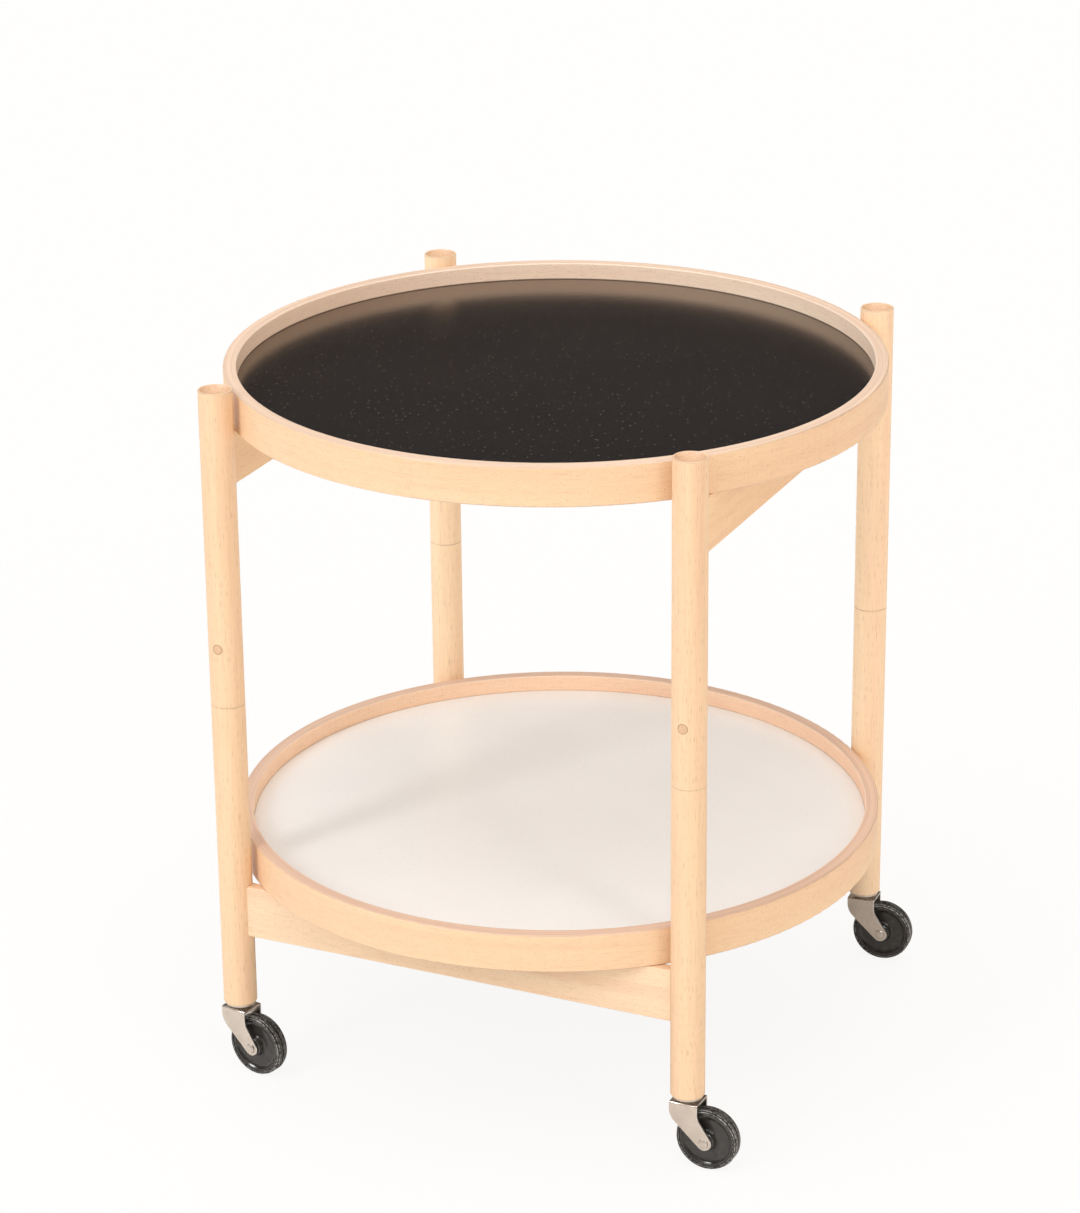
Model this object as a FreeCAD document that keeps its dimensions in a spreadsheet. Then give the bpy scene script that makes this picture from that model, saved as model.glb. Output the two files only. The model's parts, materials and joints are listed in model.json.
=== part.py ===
"""Round tray table: two loose trays in a folding frame of round legs and flat rails, on four swivel casters.

Millimetres, +Z up. The origin is on the floor, midway between the four legs. +X runs along the front from
the left leg to the right leg, and +Y runs to the rear.
"""
import FreeCAD, Part
import math
import os

import Sketcher
from FreeCAD import Placement, Rotation, Vector

SIZES = [
    ("tray_diameter", 600, "outside of a tray's rim"),
    ("rim_wall", 12, "thickness of the rim"),
    ("rim_height", 36, "height of the rim"),
    ("rim_edge_round", 1.2, "four edges of the rim"),
    ("panel_groove_depth", 6, "groove for the panel in the rim"),
    ("panel_clearance", 0.2, "radial, panel to rim"),
    ("core_thickness", 3, "board inside a panel"),
    ("laminate_thickness", 0.6, "sheet on each face of the board"),
    ("tray_leg_clearance", 3.4, "rim of a tray to each leg"),
    ("leg_diameter", 31, "both halves of a leg"),
    ("lower_leg_length", 300.8, "foot of the leg to the seam"),
    ("upper_leg_length", 298, "seam to the top of the leg"),
    ("leg_above_rim", 8, "top of the leg over the rim of the upper tray"),
    ("leg_edge_round", 1.2, "outer edge at the top and the foot"),
    ("seam_edge_round", 0.4, "outer edges that meet at the seam"),
    ("dish_rim", 1.2, "ring left round the dished leg top"),
    ("dish_depth", 6, "hollow of the dished leg top"),
    ("dowel_diameter", 16, "turned pivot dowel across the seam"),
    ("dowel_clearance", 0.05, "radial, dowel to bore"),
    ("dowel_below_seam", 62, "glued length in the lower half"),
    ("dowel_head", 6.6, "groove to the top of the dowel"),
    ("dowel_end_room", 2, "air above the dowel in its bore"),
    ("dowel_chamfer", 1, "both ends of the dowel"),
    ("peg_diameter", 9.4, "peg that keeps the dowel in"),
    ("peg_above_seam", 57, "seam to the axis of the peg"),
    ("peg_reach", 3, "tip of the peg into the dowel's groove"),
    ("peg_clearance", 0.05, "radial, peg to its hole in the leg"),
    ("groove_clearance", 0.4, "peg to each wall of the groove"),
    ("rail_thickness", 12, "across a rail"),
    ("rail_height", 50, "depth of a rail"),
    ("rail_edge_round", 1.5, "long edges of a rail"),
    ("rail_shoulder_gap", 0.1, "rail shoulder to the round of the leg"),
    ("lower_rail_above_foot", 70.8, "foot of the leg to the underside of a lower rail"),
    ("tenon_cheek", 2.5, "face of a rail to its tenon"),
    ("tenon_shoulder", 6, "edge of a rail to its tenon"),
    ("tenon_length", 12, "shoulder to the end of a tenon"),
    ("tenon_end_room", 0.6, "glue room at the end of a mortise"),
    ("wheel_diameter", 58, "outside of the tyre"),
    ("wheel_trail", 20.3, "swivel axis to the axle"),
    ("wheel_top_gap", 4.25, "tyre to the top of the fork"),
    ("tyre_width", 14, "across the tread"),
    ("tyre_thickness", 3.2, "tread to the seat of the tyre"),
    ("tyre_edge_round", 1.2, "shoulders of the tyre"),
    ("tyre_side_clearance", 3.5, "tyre to the inside of each fork arm"),
    ("tread_groove_width", 1.6, "groove round the middle of the tread"),
    ("tread_groove_depth", 1.1, "groove round the middle of the tread"),
    ("wheel_rim_inset", 0.8, "side of the tyre to the side of the wheel's rim"),
    ("wheel_rim_thickness", 2.2, "seat of the tyre to the inside of the rim"),
    ("wheel_web_width", 7, "across the web of the wheel"),
    ("hub_diameter", 19, "boss round the axle"),
    ("hub_side_clearance", 0.5, "boss to the inside of each fork arm"),
    ("hub_edge_round", 1.2, "edge of the boss"),
    ("axle_diameter", 5, "rivet through the wheel"),
    ("axle_clearance", 0.06, "radial, rivet to wheel and fork"),
    ("rivet_head_diameter", 9.2, "head of the rivet"),
    ("rivet_head_height", 1.7, "head of the rivet"),
    ("fork_sheet", 2, "thickness of the fork's sheet"),
    ("fork_lead", 13, "swivel axis to the leading edge of the fork"),
    ("fork_tail", 14, "swivel axis to the trailing edge of the fork's top"),
    ("fork_lead_drop", 14, "straight part of the leading edge"),
    ("fork_tail_drop", 12.5, "straight part of the trailing edge"),
    ("fork_end_radius", 7.2, "round end of an arm"),
    ("fork_lead_round", 17, "turn of the leading edge into its slant"),
    ("fork_tail_round", 11, "turn of the trailing edge into its slant"),
    ("fork_bend_round", 1.6, "outside of the bend from top to arm"),
    ("washer_diameter", 19, "bearing washer on the fork"),
    ("washer_thickness", 3.2, "bearing washer on the fork"),
    ("flange_diameter", 28, "flange of the sleeve under the leg"),
    ("flange_thickness", 1.75, "flange of the sleeve under the leg"),
    ("sleeve_diameter", 11, "sleeve pressed into the leg"),
    ("sleeve_length", 38, "sleeve pressed into the leg"),
    ("sleeve_clearance", 0.03, "radial, sleeve to leg"),
    ("stem_diameter", 8, "upright pin of the caster"),
    ("stem_clearance", 0.08, "radial, stem to sleeve, washer and fork"),
    ("stem_end_room", 4, "top of the stem to the end of the sleeve"),
    ("stem_chamfer", 1.5, "top of the stem"),
    ("stem_head_diameter", 12, "head under the fork's top"),
    ("stem_head_height", 1.6, "head under the fork's top"),
    ("yaw_front_left", -11, "where this caster points, degrees from +X"),
    ("yaw_front_right", 0, "where this caster points, degrees from +X"),
    ("yaw_rear_right", 4, "where this caster points, degrees from +X"),
    ("yaw_rear_left", 2, "where this caster points, degrees from +X"),
]

# Corner name, side of the leg in X and Y
CORNERS = [
    ("front_left", -1, -1),
    ("front_right", 1, -1),
    ("rear_right", 1, 1),
    ("rear_left", -1, 1),
]

# Casters, from the floor up to the foot of the leg
AXLE_HEIGHT = "sizes.wheel_diameter / 2"
TYRE_SEAT = "sizes.wheel_diameter / 2 - sizes.tyre_thickness"
FORK_UNDER = "sizes.wheel_diameter + sizes.wheel_top_gap"
FORK_TOP = f"{FORK_UNDER} + sizes.fork_sheet"
FORK_INSIDE = "sizes.tyre_width / 2 + sizes.tyre_side_clearance"
FORK_OUTSIDE = f"{FORK_INSIDE} + sizes.fork_sheet"
RIVET_BORE = "sizes.axle_diameter / 2 + sizes.axle_clearance"
STEM_BORE = "sizes.stem_diameter / 2 + sizes.stem_clearance"
FOOT = f"{FORK_TOP} + sizes.washer_thickness + sizes.flange_thickness"
STEM_TOP = f"{FOOT} + sizes.sleeve_length - sizes.stem_end_room"

# Frame: the legs stand just clear of the trays, and the trays lie on the rails
LEG_RADIUS = "sizes.leg_diameter / 2"
LEG_OFFSET = f"(sizes.tray_diameter / 2 + sizes.tray_leg_clearance + {LEG_RADIUS}) / sqrt(2)"
SEAM = f"{FOOT} + sizes.lower_leg_length"
LOWER_TRAY = f"{FOOT} + sizes.lower_rail_above_foot + sizes.rail_height"
UPPER_TRAY = f"{SEAM} + sizes.upper_leg_length - sizes.leg_above_rim - sizes.rim_height"
SHOULDER = f"{LEG_RADIUS} + sizes.rail_shoulder_gap"
RAIL_LENGTH = f"2 * ({LEG_OFFSET} - ({SHOULDER}))"
RAIL_BLANK = f"2 * {LEG_OFFSET} - {LEG_RADIUS}"
TENON_HALF = "sizes.rail_thickness / 2 - sizes.tenon_cheek"
TENON_HEIGHT = "sizes.rail_height - 2 * sizes.tenon_shoulder"
MORTISE_FLOOR = f"{SHOULDER} - sizes.tenon_length - sizes.tenon_end_room"

# Pivots, measured from the seam
DOWEL_RADIUS = "sizes.dowel_diameter / 2"
DOWEL_BORE = f"{DOWEL_RADIUS} + sizes.dowel_clearance"
PEG_TIP = f"{DOWEL_RADIUS} - sizes.peg_reach"
GROOVE_RADIUS = f"{PEG_TIP} - sizes.groove_clearance"
GROOVE_LOW = "sizes.peg_above_seam - sizes.peg_diameter / 2 - sizes.groove_clearance"
GROOVE_HIGH = "sizes.peg_above_seam + sizes.peg_diameter / 2 + sizes.groove_clearance"
DOWEL_TOP = f"{GROOVE_HIGH} + sizes.dowel_head"

# Trays, measured from their underside
RIM_OUTSIDE = "sizes.tray_diameter / 2"
RIM_INSIDE = f"{RIM_OUTSIDE} - sizes.rim_wall"
GROOVE_FLOOR = f"{RIM_INSIDE} + sizes.panel_groove_depth"
CORE_BOTTOM = "(sizes.rim_height - sizes.core_thickness) / 2"
CORE_TOP = "(sizes.rim_height + sizes.core_thickness) / 2"

# The round at a leg's top stops short of the dish
DISH_ROUND_LIMIT = "0.8 * sizes.dish_rim"

QUARTER = 90
HALF_TURN = 180
TOLERANCE = 1e-4

doc = FreeCAD.newDocument("tray_table")
sheet = doc.addObject("Spreadsheet::Sheet", "sizes")
for row, (alias, number, note) in enumerate(SIZES, start=1):
    sheet.set(f"A{row}", alias)
    sheet.set(f"B{row}", str(number))
    sheet.setAlias(f"B{row}", alias)
    sheet.set(f"C{row}", note)
doc.recompute()

pieces = []


def value(expression):
    """The number that an expression on the sheet gives now."""
    return float(sheet.evalExpression(expression))


def new_body(label):
    """An empty body that becomes one piece of the table."""
    body = doc.addObject("PartDesign::Body", label)
    body.Label = label
    pieces.append(body)
    return body


def new_sketch(body, plane, name):
    """A sketch on one of the body's own origin planes."""
    sketch = body.newObject("Sketcher::SketchObject", name)
    support = next(item for item in body.Origin.OriginFeatures if item.Role == plane)
    sketch.AttachmentSupport = [(support, "")]
    sketch.MapMode = "FlatFace"
    return sketch


def bind(sketch, kind, *where, expression):
    """A dimension whose number comes from the sheet."""
    index = sketch.addConstraint(Sketcher.Constraint(kind, *where, value(expression)))
    sketch.setExpression(f"Constraints[{index}]", expression)


def pin(sketch, line, end, corner):
    """Fix one end of a line or arc, or a centre, at a pair of expressions."""
    bind(sketch, "DistanceX", -1, 1, line, end, expression=corner[0])
    bind(sketch, "DistanceY", -1, 1, line, end, expression=corner[1])


def crown(first, second):
    """The arc between two corners whose centre lies on the upright axis, and its end numbers in order."""
    height = (second.x**2 + second.y**2 - first.x**2 - first.y**2) / (2 * (second.y - first.y))
    centre = Vector(0, height, 0)
    start = math.atan2(first.y - height, first.x)
    stop = math.atan2(second.y - height, second.x)
    circle = Part.Circle(centre, Vector(0, 0, 1), first.distanceToPoint(centre))
    if start < stop:
        return Part.ArcOfCircle(circle, start, stop), (1, 2)
    return Part.ArcOfCircle(circle, stop, start), (2, 1)


def outline(body, plane, name, corners, crowns=()):
    """A closed sketch through corners given as pairs of expressions. Sides listed in crowns are arcs
    about a centre on the upright axis."""
    sketch = new_sketch(body, plane, name)
    points = [Vector(value(right), value(up), 0) for right, up in corners]
    ends = []
    for index, point in enumerate(points):
        following = points[(index + 1) % len(points)]
        if index in crowns:
            side, order = crown(point, following)
        else:
            side, order = Part.LineSegment(point, following), (1, 2)
        sketch.addGeometry(side)
        ends.append(order)
    for index, corner in enumerate(corners):
        before = index - 1 if index else len(corners) - 1
        joint = Sketcher.Constraint("Coincident", before, ends[before][1], index, ends[index][0])
        sketch.addConstraint(joint)
        pin(sketch, index, ends[index][0], corner)
    for index in crowns:
        sketch.addConstraint(Sketcher.Constraint("PointOnObject", index, 3, -2))
    return sketch


def circle(body, plane, name, centre, diameter):
    """A sketch of one circle."""
    sketch = new_sketch(body, plane, name)
    middle = Vector(value(centre[0]), value(centre[1]), 0)
    sketch.addGeometry(Part.Circle(middle, Vector(0, 0, 1), value(diameter) / 2))
    pin(sketch, 0, 3, centre)
    bind(sketch, "Diameter", 0, expression=diameter)
    return sketch


def box_corners(left, right, low, high):
    """The four corners of an upright rectangle."""
    return [(left, low), (right, low), (right, high), (left, high)]


def turned(body, name, corners, crowns=()):
    """A solid of revolution about the body's Z axis, from its half section."""
    section = outline(body, "XZ_Plane", f"{name}_section", corners, crowns)
    feature = body.newObject("PartDesign::Revolution", name)
    feature.Profile = section
    feature.ReferenceAxis = (section, ["V_Axis"])
    feature.Angle = 360
    doc.recompute()
    return feature


def padded(body, name, sketch, length):
    """A pad that reaches half its length to each side of the sketch."""
    feature = body.newObject("PartDesign::Pad", name)
    feature.Profile = sketch
    feature.Midplane = True
    feature.setExpression("Length", length)
    doc.recompute()
    return feature


def cut(body, name, sketch, both_ways=False, forwards=False):
    """A pocket through everything, backwards from its sketch unless told otherwise."""
    before = body.Shape.Volume
    feature = body.newObject("PartDesign::Pocket", name)
    feature.Profile = sketch
    feature.Type = "ThroughAll"
    feature.Midplane = both_ways
    feature.Reversed = forwards
    doc.recompute()
    if feature.Shape.Volume > before - TOLERANCE:
        raise ValueError(f"{body.Label}: {name} cuts nothing")
    return feature


def finish_edges(body, kind, size, wanted):
    """Round or chamfer the edges of the body's tip that the test picks."""
    base = body.Tip
    names = [f"Edge{index}" for index, edge in enumerate(base.Shape.Edges, start=1) if wanted(edge)]
    if not names:
        raise ValueError(f"{body.Label}: no edge for {kind}")
    feature = body.newObject(f"PartDesign::{kind}", f"{body.Name}_{kind}_{len(body.Group)}")
    feature.Base = (base, names)
    feature.setExpression("Radius" if kind == "Fillet" else "Size", size)
    doc.recompute()


def ring(radius, height):
    """A test for the circular edge of this radius at this height."""
    wanted_radius, wanted_height = value(radius), value(height)

    def test(edge):
        if edge.Degenerated or not isinstance(edge.Curve, Part.Circle):
            return False
        near_radius = abs(edge.Curve.Radius - wanted_radius) < TOLERANCE
        return near_radius and abs(edge.Curve.Center.z - wanted_height) < TOLERANCE

    return test


def any_of(*tests):
    """A test that passes where one of the given tests does."""
    return lambda edge: any(test(edge) for test in tests)


def about_z(degrees):
    """A turn about the upright axis."""
    return Rotation(Vector(0, 0, 1), degrees)


def stand(piece, right, rear, up, turn=Rotation()):
    """Place a piece at three expressions, with a turn."""
    piece.Placement = Placement(Vector(), turn)
    for axis, expression in zip("xyz", (right, rear, up)):
        piece.setExpression(f"Placement.Base.{axis}", expression)


def leg_axis(side_x, side_y):
    """The expressions for the X and Y of a leg."""
    return f"{side_x} * {LEG_OFFSET}", f"{side_y} * {LEG_OFFSET}"


def mortise(body, rail_low):
    """The slot for a rail's tenon on the leg's local +X side."""
    low = f"{rail_low} + sizes.tenon_shoulder"
    corners = box_corners(f"-({TENON_HALF})", TENON_HALF, low, f"{low} + {TENON_HEIGHT}")
    slot = outline(body, "YZ_Plane", "mortise_outline", corners)
    slot.setExpression("AttachmentOffset.Base.z", MORTISE_FLOOR)
    cut(body, "mortise", slot, forwards=True)


def upper_leg(corner, side_x, side_y):
    """Upper half of a leg: dished top, bore for the dowel, peg hole outside, mortise towards its rail."""
    body = new_body(f"upper_leg_{corner}")
    top = "sizes.upper_leg_length"
    bore_end = f"{DOWEL_TOP} + sizes.dowel_end_room"
    section = [
        (DOWEL_BORE, "0"),
        (LEG_RADIUS, "0"),
        (LEG_RADIUS, top),
        (f"{LEG_RADIUS} - sizes.dish_rim", top),
        ("0", f"{top} - sizes.dish_depth"),
        ("0", bore_end),
        (DOWEL_BORE, bore_end),
    ]
    turned(body, "turning", section, crowns=(3,))
    finish_edges(body, "Fillet", f"min(sizes.leg_edge_round; {DISH_ROUND_LIMIT})", ring(LEG_RADIUS, top))
    finish_edges(body, "Fillet", "sizes.seam_edge_round", ring(LEG_RADIUS, "0"))
    mortise(body, f"{UPPER_TRAY} - sizes.rail_height - ({SEAM})")
    bore = "sizes.peg_diameter + 2 * sizes.peg_clearance"
    cut(body, "peg_hole", circle(body, "YZ_Plane", "peg_bore", ("0", "sizes.peg_above_seam"), bore))
    stand(body, *leg_axis(side_x, side_y), SEAM, about_z(-side_y * QUARTER))


def lower_leg(corner, side_x, side_y):
    """Lower half of a leg: bores for the dowel and the caster's sleeve, mortise towards its rail."""
    body = new_body(f"lower_leg_{corner}")
    top = "sizes.lower_leg_length"
    dowel_floor = f"{top} - sizes.dowel_below_seam"
    sleeve_bore = "sizes.sleeve_diameter / 2 + sizes.sleeve_clearance"
    section = [
        (sleeve_bore, "0"),
        (LEG_RADIUS, "0"),
        (LEG_RADIUS, top),
        (DOWEL_BORE, top),
        (DOWEL_BORE, dowel_floor),
        ("0", dowel_floor),
        ("0", "sizes.sleeve_length"),
        (sleeve_bore, "sizes.sleeve_length"),
    ]
    turned(body, "turning", section)
    finish_edges(body, "Fillet", "sizes.leg_edge_round", ring(LEG_RADIUS, "0"))
    finish_edges(body, "Fillet", "sizes.seam_edge_round", ring(LEG_RADIUS, top))
    mortise(body, "sizes.lower_rail_above_foot")
    inwards = HALF_TURN if side_x > 0 else 0
    stand(body, *leg_axis(side_x, side_y), FOOT, about_z(inwards))


def pivot_dowel(corner, side_x, side_y):
    """Dowel glued into the lower half. Its upper part turns in the upper half and has the peg's groove."""
    body = new_body(f"pivot_dowel_{corner}")
    low = "-sizes.dowel_below_seam"
    section = [
        ("0", low),
        (DOWEL_RADIUS, low),
        (DOWEL_RADIUS, GROOVE_LOW),
        (GROOVE_RADIUS, GROOVE_LOW),
        (GROOVE_RADIUS, GROOVE_HIGH),
        (DOWEL_RADIUS, GROOVE_HIGH),
        (DOWEL_RADIUS, DOWEL_TOP),
        ("0", DOWEL_TOP),
    ]
    turned(body, "turning", section)
    ends = any_of(ring(DOWEL_RADIUS, low), ring(DOWEL_RADIUS, DOWEL_TOP))
    finish_edges(body, "Chamfer", "sizes.dowel_chamfer", ends)
    stand(body, *leg_axis(side_x, side_y), SEAM)


def peg(corner, side_x, side_y):
    """Peg through the upper half's wall, flush outside, with its tip in the dowel's groove."""
    body = new_body(f"peg_{corner}")
    rod = circle(body, "YZ_Plane", "rod_outline", ("0", "0"), "sizes.peg_diameter")
    rod.setExpression("AttachmentOffset.Base.z", f"-({PEG_TIP} + {LEG_RADIUS}) / 2")
    padded(body, "rod", rod, f"{LEG_RADIUS} - ({PEG_TIP})")
    flush = circle(body, "XY_Plane", "leg_round", ("0", "0"), "sizes.leg_diameter")
    beyond = "sizes.leg_diameter / 2 + sizes.peg_diameter"
    flush.addGeometry(Part.Circle(Vector(), Vector(0, 0, 1), value(beyond)))
    pin(flush, 1, 3, ("0", "0"))
    bind(flush, "Radius", 1, expression=beyond)
    cut(body, "flush_end", flush, both_ways=True)
    height = f"{SEAM} + sizes.peg_above_seam"
    stand(body, *leg_axis(side_x, side_y), height, about_z(-side_y * QUARTER))


def rail(label, right, rear, top, turn):
    """Flat rail along its local X axis. Its ends are hollowed to the round of the legs and have a tenon each.
    Its top carries a tray."""
    body = new_body(label)
    half = "sizes.rail_thickness / 2"
    flat = box_corners(f"-{half}", half, "-sizes.rail_height", "0")
    padded(body, "rail", outline(body, "YZ_Plane", "rail_outline", flat), RAIL_BLANK)
    length = value(RAIL_BLANK)
    finish_edges(body, "Fillet", "sizes.rail_edge_round", lambda edge: abs(edge.Length - length) < TOLERANCE)
    for end, leg in (("left", f"-{LEG_OFFSET}"), ("right", LEG_OFFSET)):
        leg_round = circle(body, "XY_Plane", f"leg_round_{end}", (leg, "0"), f"2 * ({SHOULDER})")
        cut(body, f"hollow_{end}", leg_round, both_ways=True)
    tenon_top = "-sizes.tenon_shoulder"
    thin = box_corners(f"-({TENON_HALF})", TENON_HALF, f"{tenon_top} - ({TENON_HEIGHT})", tenon_top)
    tenons = outline(body, "YZ_Plane", "tenon_outline", thin)
    padded(body, "tenons", tenons, f"{RAIL_LENGTH} + 2 * sizes.tenon_length")
    stand(body, right, rear, top, about_z(turn))


def disc(label, radius, height, low):
    """A plain round sheet or board of a tray."""
    plate = doc.addObject("Part::Cylinder", label)
    plate.Label = label
    plate.setExpression("Radius", radius)
    plate.setExpression("Height", height)
    stand(plate, "0", "0", low)
    pieces.append(plate)


def tray(name, height, top_colour, under_colour):
    """Tray: turned rim, board let into a groove half way up, and a laminate on each face of the board."""
    rim = new_body(f"{name}_tray_rim")
    section = [
        (RIM_INSIDE, "0"),
        (RIM_OUTSIDE, "0"),
        (RIM_OUTSIDE, "sizes.rim_height"),
        (RIM_INSIDE, "sizes.rim_height"),
        (RIM_INSIDE, CORE_TOP),
        (GROOVE_FLOOR, CORE_TOP),
        (GROOVE_FLOOR, CORE_BOTTOM),
        (RIM_INSIDE, CORE_BOTTOM),
    ]
    turned(rim, "turning", section)
    levels = ("0", "sizes.rim_height")
    rounds = [ring(radius, level) for radius in (RIM_INSIDE, RIM_OUTSIDE) for level in levels]
    finish_edges(rim, "Fillet", "sizes.rim_edge_round", any_of(*rounds))
    stand(rim, "0", "0", height)
    board_radius = f"{GROOVE_FLOOR} - sizes.panel_clearance"
    sheet_radius = f"{RIM_INSIDE} - sizes.panel_clearance"
    thin = "sizes.laminate_thickness"
    disc(f"{name}_tray_core", board_radius, "sizes.core_thickness", f"{height} + {CORE_BOTTOM}")
    disc(f"{name}_tray_{top_colour}_laminate", sheet_radius, thin, f"{height} + {CORE_TOP}")
    disc(f"{name}_tray_{under_colour}_laminate", sheet_radius, thin, f"{height} + {CORE_BOTTOM} - {thin}")


def caster_sleeve(corner, place):
    """Flanged sleeve in the foot of the leg, open below for the stem."""
    body = new_body(f"caster_sleeve_{corner}")
    outside = "sizes.sleeve_diameter / 2"
    flange = "sizes.flange_diameter / 2"
    section = [
        (STEM_BORE, "-sizes.flange_thickness"),
        (flange, "-sizes.flange_thickness"),
        (flange, "0"),
        (outside, "0"),
        (outside, "sizes.sleeve_length"),
        (STEM_BORE, "sizes.sleeve_length"),
    ]
    turned(body, "turning", section)
    stand(body, *place, FOOT)


def caster_stem(corner, place, turn):
    """Upright pin of the caster, headed under the fork's top."""
    body = new_body(f"caster_stem_{corner}")
    radius = "sizes.stem_diameter / 2"
    head = "sizes.stem_head_diameter / 2"
    under = f"{FORK_UNDER} - sizes.stem_head_height"
    section = [
        ("0", under),
        (head, under),
        (head, FORK_UNDER),
        (radius, FORK_UNDER),
        (radius, STEM_TOP),
        ("0", STEM_TOP),
    ]
    turned(body, "turning", section)
    finish_edges(body, "Chamfer", "sizes.stem_chamfer", ring(radius, STEM_TOP))
    stand(body, *place, "0", turn)


def caster_washer(corner, place, turn):
    """Bearing washer between the sleeve's flange and the fork."""
    body = new_body(f"caster_washer_{corner}")
    top = f"{FORK_TOP} + sizes.washer_thickness"
    turned(body, "turning", box_corners(STEM_BORE, "sizes.washer_diameter / 2", FORK_TOP, top))
    stand(body, *place, "0", turn)


def fork_outline(body):
    """Side view of the fork: flat top, two straight edges that slant to a round end about the axle."""
    sketch = new_sketch(body, "XZ_Plane", "arm_outline")
    corners = [
        ("-sizes.fork_lead", f"{FORK_TOP} - sizes.fork_lead_drop"),
        ("-sizes.fork_lead", FORK_TOP),
        ("sizes.fork_tail", FORK_TOP),
        ("sizes.fork_tail", f"{FORK_TOP} - sizes.fork_tail_drop"),
    ]
    points = [Vector(value(right), value(up), 0) for right, up in corners]
    centre = Vector(value("sizes.wheel_trail"), value(AXLE_HEIGHT), 0)
    radius = value("sizes.fork_end_radius")
    # A slanting edge touches the round end where the radius is square to it
    angles = []
    for point, way in ((points[0], 1), (points[-1], -1)):
        towards = point - centre
        swing = math.acos(radius / towards.Length)
        angles.append(math.atan2(towards.y, towards.x) + way * swing)
    touch = [centre + Vector(math.cos(angle), math.sin(angle), 0) * radius for angle in angles]
    route = [touch[0], *points, touch[1]]
    for first, second in zip(route, route[1:]):
        sketch.addGeometry(Part.LineSegment(first, second))
    round_end = len(points) + 1
    end_circle = Part.Circle(centre, Vector(0, 0, 1), radius)
    sketch.addGeometry(Part.ArcOfCircle(end_circle, angles[0], angles[1] + 2 * math.pi))
    for line in range(round_end - 1):
        sketch.addConstraint(Sketcher.Constraint("Coincident", line, 2, line + 1, 1))
    sketch.addConstraint(Sketcher.Constraint("Tangent", 0, 1, round_end, 1))
    sketch.addConstraint(Sketcher.Constraint("Tangent", round_end - 1, 2, round_end, 2))
    for line, corner in enumerate(corners, start=1):
        pin(sketch, line, 1, corner)
    pin(sketch, round_end, 3, ("sizes.wheel_trail", AXLE_HEIGHT))
    bind(sketch, "Radius", round_end, expression="sizes.fork_end_radius")
    return sketch


def corner_edge(right, up):
    """A test for the edge across the fork at one corner of its side view."""
    wanted = Vector(value(right), 0, value(up))
    return lambda edge: edge.CenterOfMass.distanceToPoint(wanted) < TOLERANCE


def caster_fork(corner, place, turn):
    """Fork bent from sheet: flat top and two arms, bored for the stem and the axle."""
    body = new_body(f"caster_fork_{corner}")
    padded(body, "blank", fork_outline(body), f"2 * ({FORK_OUTSIDE})")
    top = value(FORK_TOP)
    side = value(FORK_OUTSIDE)

    def at_bend(edge):
        middle = edge.CenterOfMass
        return abs(middle.z - top) < TOLERANCE and abs(abs(middle.y) - side) < TOLERANCE

    lead = corner_edge("-sizes.fork_lead", f"{FORK_TOP} - sizes.fork_lead_drop")
    tail = corner_edge("sizes.fork_tail", f"{FORK_TOP} - sizes.fork_tail_drop")
    finish_edges(body, "Fillet", "sizes.fork_lead_round", lead)
    finish_edges(body, "Fillet", "sizes.fork_tail_round", tail)
    finish_edges(body, "Fillet", "sizes.fork_bend_round", at_bend)
    slot = box_corners(f"-({FORK_INSIDE})", FORK_INSIDE, "-sizes.wheel_diameter", FORK_UNDER)
    cut(body, "wheel_slot", outline(body, "YZ_Plane", "slot_outline", slot), both_ways=True)
    stem = circle(body, "XY_Plane", "stem_bore", ("0", "0"), f"2 * ({STEM_BORE})")
    cut(body, "stem_hole", stem, both_ways=True)
    axle = circle(body, "XZ_Plane", "axle_bore", ("sizes.wheel_trail", AXLE_HEIGHT), f"2 * ({RIVET_BORE})")
    cut(body, "axle_hole", axle, both_ways=True)
    stand(body, *place, "0", turn)


def axle_rivet(corner):
    """Rivet through both arms of the fork, with a domed head on each side."""
    body = new_body(f"axle_rivet_{corner}")
    shank = "sizes.axle_diameter / 2"
    head = "sizes.rivet_head_diameter / 2"
    upper = [(shank, FORK_OUTSIDE), (head, FORK_OUTSIDE), ("0", f"{FORK_OUTSIDE} + sizes.rivet_head_height")]
    lower = [(radius, f"-({height})") for radius, height in reversed(upper)]
    turned(body, "turning", lower + upper, crowns=(0, len(lower) + 1))
    return body


def wheel_centre(corner):
    """Wheel centre: long boss on the axle, thin web, and a rim that seats the tyre."""
    body = new_body(f"wheel_centre_{corner}")
    hub = "sizes.hub_diameter / 2"
    inside = f"{TYRE_SEAT} - sizes.wheel_rim_thickness"
    boss = f"{FORK_INSIDE} - sizes.hub_side_clearance"
    web = "sizes.wheel_web_width / 2"
    rim = "sizes.tyre_width / 2 - sizes.wheel_rim_inset"
    upper = [(RIVET_BORE, boss), (hub, boss), (hub, web), (inside, web), (inside, rim), (TYRE_SEAT, rim)]
    lower = [(radius, f"-({height})") for radius, height in reversed(upper)]
    turned(body, "turning", upper + lower)
    bosses = any_of(ring(hub, boss), ring(hub, f"-({boss})"))
    finish_edges(body, "Fillet", "sizes.hub_edge_round", bosses)
    return body


def tyre(corner):
    """Tyre with rounded shoulders and a groove round the middle of the tread."""
    body = new_body(f"tyre_{corner}")
    tread = "sizes.wheel_diameter / 2"
    side = "sizes.tyre_width / 2"
    groove = "sizes.tread_groove_width / 2"
    groove_floor = f"{tread} - sizes.tread_groove_depth"
    upper = [(TYRE_SEAT, side), (tread, side), (tread, groove), (groove_floor, groove)]
    lower = [(radius, f"-{height}") for radius, height in reversed(upper)]
    turned(body, "turning", upper + lower)
    shoulders = any_of(ring(tread, side), ring(tread, f"-{side}"))
    finish_edges(body, "Fillet", "sizes.tyre_edge_round", shoulders)
    return body


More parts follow.
